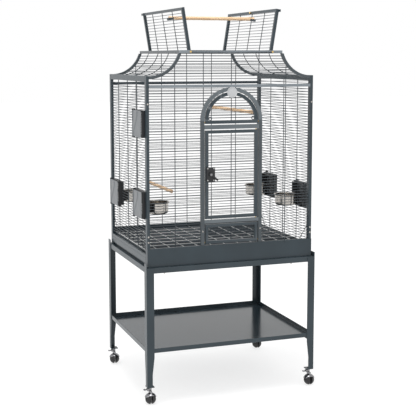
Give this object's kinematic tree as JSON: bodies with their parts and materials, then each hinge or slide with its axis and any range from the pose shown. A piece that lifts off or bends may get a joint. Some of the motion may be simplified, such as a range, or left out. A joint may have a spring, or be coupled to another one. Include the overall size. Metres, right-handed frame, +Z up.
{
  "type": "bird cage on stand",
  "caption": "Wheeled stand and wire bird cage with a flared roof whose two flaps open as a play top, an arched front door, side feeders and a pull-out tray.",
  "frame": {"origin": "on the floor below the middle of the cage", "axes": "+Z up, the door faces -Y, +X to the right of someone who faces the door from outside"},
  "size_m": [0.844, 0.6872, 1.7598],
  "materials": {
    "paint": "powder coat, satin",
    "paint_light": "powder coat, semi-gloss",
    "black": "satin",
    "grey": "satin",
    "steel": "polished",
    "chrome": "polished",
    "brass": "polished",
    "wood": "bare",
    "badge": "satin",
    "tyre": "satin"
  },
  "bodies": {
    "cage": {"leg_fl": "paint", "leg_fr": "paint", "leg_rl": "paint", "leg_rr": "paint", "stand_rails": "paint", "shelf": "paint_light", "screws": "steel", "base_frame": "paint", "front_frame": "paint", "front_wires": "paint", "left_frame": "paint", "left_wires": "paint", "right_frame": "paint", "right_wires": "paint", "rear_frame": "paint", "rear_wires": "paint", "arch_frame": "paint_light", "roof_frame": "paint_light", "roof_wires": "paint", "housing_lu": "black", "housing_lf": "black", "housing_lr": "black", "housing_rf": "black", "housing_rr": "black", "perch_low": "wood", "perch_high": "wood", "hinge_pins": "brass", "badge": "badge"},
    "flap_left": {"flap_left": "paint"},
    "flap_right": {"flap_right": "paint"},
    "top_perch": {"top_perch": "wood"},
    "door": {"door_frame": "paint", "door_wires": "paint", "latch_body": "black"},
    "latch": {"latch_lever": "black"},
    "window": {"window_frame": "paint"},
    "hatch": {"hatch_frame": "paint"},
    "tray": {"tray": "paint"},
    "grate": {"grate": "paint"},
    "cover_lu": {"cover_lu": "grey"},
    "cover_lf": {"cover_lf": "grey"},
    "cover_lr": {"cover_lr": "grey"},
    "cover_rf": {"cover_rf": "grey"},
    "cover_rr": {"cover_rr": "grey"},
    "bowl_lf": {"bowl_lf": "steel"},
    "bowl_lr": {"bowl_lr": "steel"},
    "bowl_rf": {"bowl_rf": "steel"},
    "bowl_rr": {"bowl_rr": "steel"},
    "fork_fl": {"fork_fl": "chrome"},
    "wheel_fl": {"wheel_fl": "tyre"},
    "brake_fl": {"brake_fl": "chrome"},
    "fork_fr": {"fork_fr": "chrome"},
    "wheel_fr": {"wheel_fr": "tyre"},
    "brake_fr": {"brake_fr": "chrome"},
    "fork_rl": {"fork_rl": "chrome"},
    "wheel_rl": {"wheel_rl": "tyre"},
    "brake_rl": {"brake_rl": "chrome"},
    "fork_rr": {"fork_rr": "chrome"},
    "wheel_rr": {"wheel_rr": "tyre"},
    "brake_rr": {"brake_rr": "chrome"}
  },
  "joints": [
    {"name": "flap_left_hinge", "type": "hinge", "parent": "cage", "child": "flap_left", "pos_m": [-0.195, 0, 1.5675], "axis": [0, 1, 0], "range_deg": [0, 99]},
    {"name": "flap_right_hinge", "type": "hinge", "parent": "cage", "child": "flap_right", "pos_m": [0.195, 0, 1.5675], "axis": [0, -1, 0], "range_deg": [0, 99]},
    {"name": "top_perch_lift", "type": "slide", "parent": "cage", "child": "top_perch", "axis": [0, 0, 1], "range_m": [0, 1.215]},
    {"name": "door_hinge", "type": "hinge", "parent": "cage", "child": "door", "pos_m": [0.119, -0.3095, 0.822], "axis": [0, 0, 1], "range_deg": [0, 110]},
    {"name": "latch_turn", "type": "hinge", "parent": "door", "child": "latch", "pos_m": [-0.104, -0.325, 1.024], "axis": [0, -1, 0], "range_deg": [0, 90]},
    {"name": "window_fold", "type": "hinge", "parent": "cage", "child": "window", "pos_m": [0, -0.3095, 1.2559], "axis": [1, 0, 0], "range_deg": [0, 90]},
    {"name": "hatch_fold", "type": "hinge", "parent": "cage", "child": "hatch", "pos_m": [0, -0.3095, 0.7155], "axis": [1, 0, 0], "range_deg": [0, 90]},
    {"name": "tray_slide", "type": "slide", "parent": "cage", "child": "tray", "axis": [0, -1, 0], "range_m": [0, 0.45]},
    {"name": "grate_lift", "type": "slide", "parent": "cage", "child": "grate", "axis": [0, 0, 1], "range_m": [0, 0.08]},
    {"name": "cover_lu_hinge", "type": "hinge", "parent": "cage", "child": "cover_lu", "pos_m": [-0.4182, -0.168, 1.193], "axis": [0, 0, -1], "range_deg": [0, 110]},
    {"name": "cover_lf_hinge", "type": "hinge", "parent": "cage", "child": "cover_lf", "pos_m": [-0.4182, -0.168, 0.835], "axis": [0, 0, -1], "range_deg": [0, 110]},
    {"name": "cover_lr_hinge", "type": "hinge", "parent": "cage", "child": "cover_lr", "pos_m": [-0.4182, 0.239, 0.835], "axis": [0, 0, -1], "range_deg": [0, 110]},
    {"name": "cover_rf_hinge", "type": "hinge", "parent": "cage", "child": "cover_rf", "pos_m": [0.4182, -0.124, 0.835], "axis": [0, 0, 1], "range_deg": [0, 110]},
    {"name": "cover_rr_hinge", "type": "hinge", "parent": "cage", "child": "cover_rr", "pos_m": [0.4182, 0.246, 0.835], "axis": [0, 0, 1], "range_deg": [0, 110]},
    {"name": "bowl_lf_lift", "type": "slide", "parent": "cage", "child": "bowl_lf", "axis": [0, 0, 1], "range_m": [0, 0.07]},
    {"name": "bowl_lr_lift", "type": "slide", "parent": "cage", "child": "bowl_lr", "axis": [0, 0, 1], "range_m": [0, 0.07]},
    {"name": "bowl_rf_lift", "type": "slide", "parent": "cage", "child": "bowl_rf", "axis": [0, 0, 1], "range_m": [0, 0.07]},
    {"name": "bowl_rr_lift", "type": "slide", "parent": "cage", "child": "bowl_rr", "axis": [0, 0, 1], "range_m": [0, 0.07]},
    {"name": "swivel_fl", "type": "hinge", "parent": "cage", "child": "fork_fl", "pos_m": [-0.392, -0.3185, 0.076], "axis": [0, 0, 1], "continuous": true},
    {"name": "wheel_fl_roll", "type": "hinge", "parent": "fork_fl", "child": "wheel_fl", "pos_m": [-0.392, -0.3265, 0.025], "axis": [1, 0, 0], "continuous": true},
    {"name": "brake_fl_press", "type": "hinge", "parent": "fork_fl", "child": "brake_fl", "pos_m": [-0.404, -0.3185, 0.065], "axis": [0, -1, 0], "range_deg": [0, 15]},
    {"name": "swivel_fr", "type": "hinge", "parent": "cage", "child": "fork_fr", "pos_m": [0.392, -0.3185, 0.076], "axis": [0, 0, 1], "continuous": true},
    {"name": "wheel_fr_roll", "type": "hinge", "parent": "fork_fr", "child": "wheel_fr", "pos_m": [0.392, -0.3265, 0.025], "axis": [1, 0, 0], "continuous": true},
    {"name": "brake_fr_press", "type": "hinge", "parent": "fork_fr", "child": "brake_fr", "pos_m": [0.38, -0.3185, 0.065], "axis": [0, -1, 0], "range_deg": [0, 15]},
    {"name": "swivel_rl", "type": "hinge", "parent": "cage", "child": "fork_rl", "pos_m": [-0.392, 0.3185, 0.076], "axis": [0, 0, 1], "continuous": true},
    {"name": "wheel_rl_roll", "type": "hinge", "parent": "fork_rl", "child": "wheel_rl", "pos_m": [-0.392, 0.3105, 0.025], "axis": [1, 0, 0], "continuous": true},
    {"name": "brake_rl_press", "type": "hinge", "parent": "fork_rl", "child": "brake_rl", "pos_m": [-0.404, 0.3185, 0.065], "axis": [0, -1, 0], "range_deg": [0, 15]},
    {"name": "swivel_rr", "type": "hinge", "parent": "cage", "child": "fork_rr", "pos_m": [0.392, 0.3185, 0.076], "axis": [0, 0, 1], "continuous": true},
    {"name": "wheel_rr_roll", "type": "hinge", "parent": "fork_rr", "child": "wheel_rr", "pos_m": [0.392, 0.3105, 0.025], "axis": [1, 0, 0], "continuous": true},
    {"name": "brake_rr_press", "type": "hinge", "parent": "fork_rr", "child": "brake_rr", "pos_m": [0.38, 0.3185, 0.065], "axis": [0, -1, 0], "range_deg": [0, 15]}
  ],
  "couplings": [
    {"joint": "flap_right_hinge", "follows": "flap_left_hinge", "ratio": 1},
    {"joint": "top_perch_lift", "follows": "flap_left_hinge", "m_per_rad": 0.7}
  ]
}
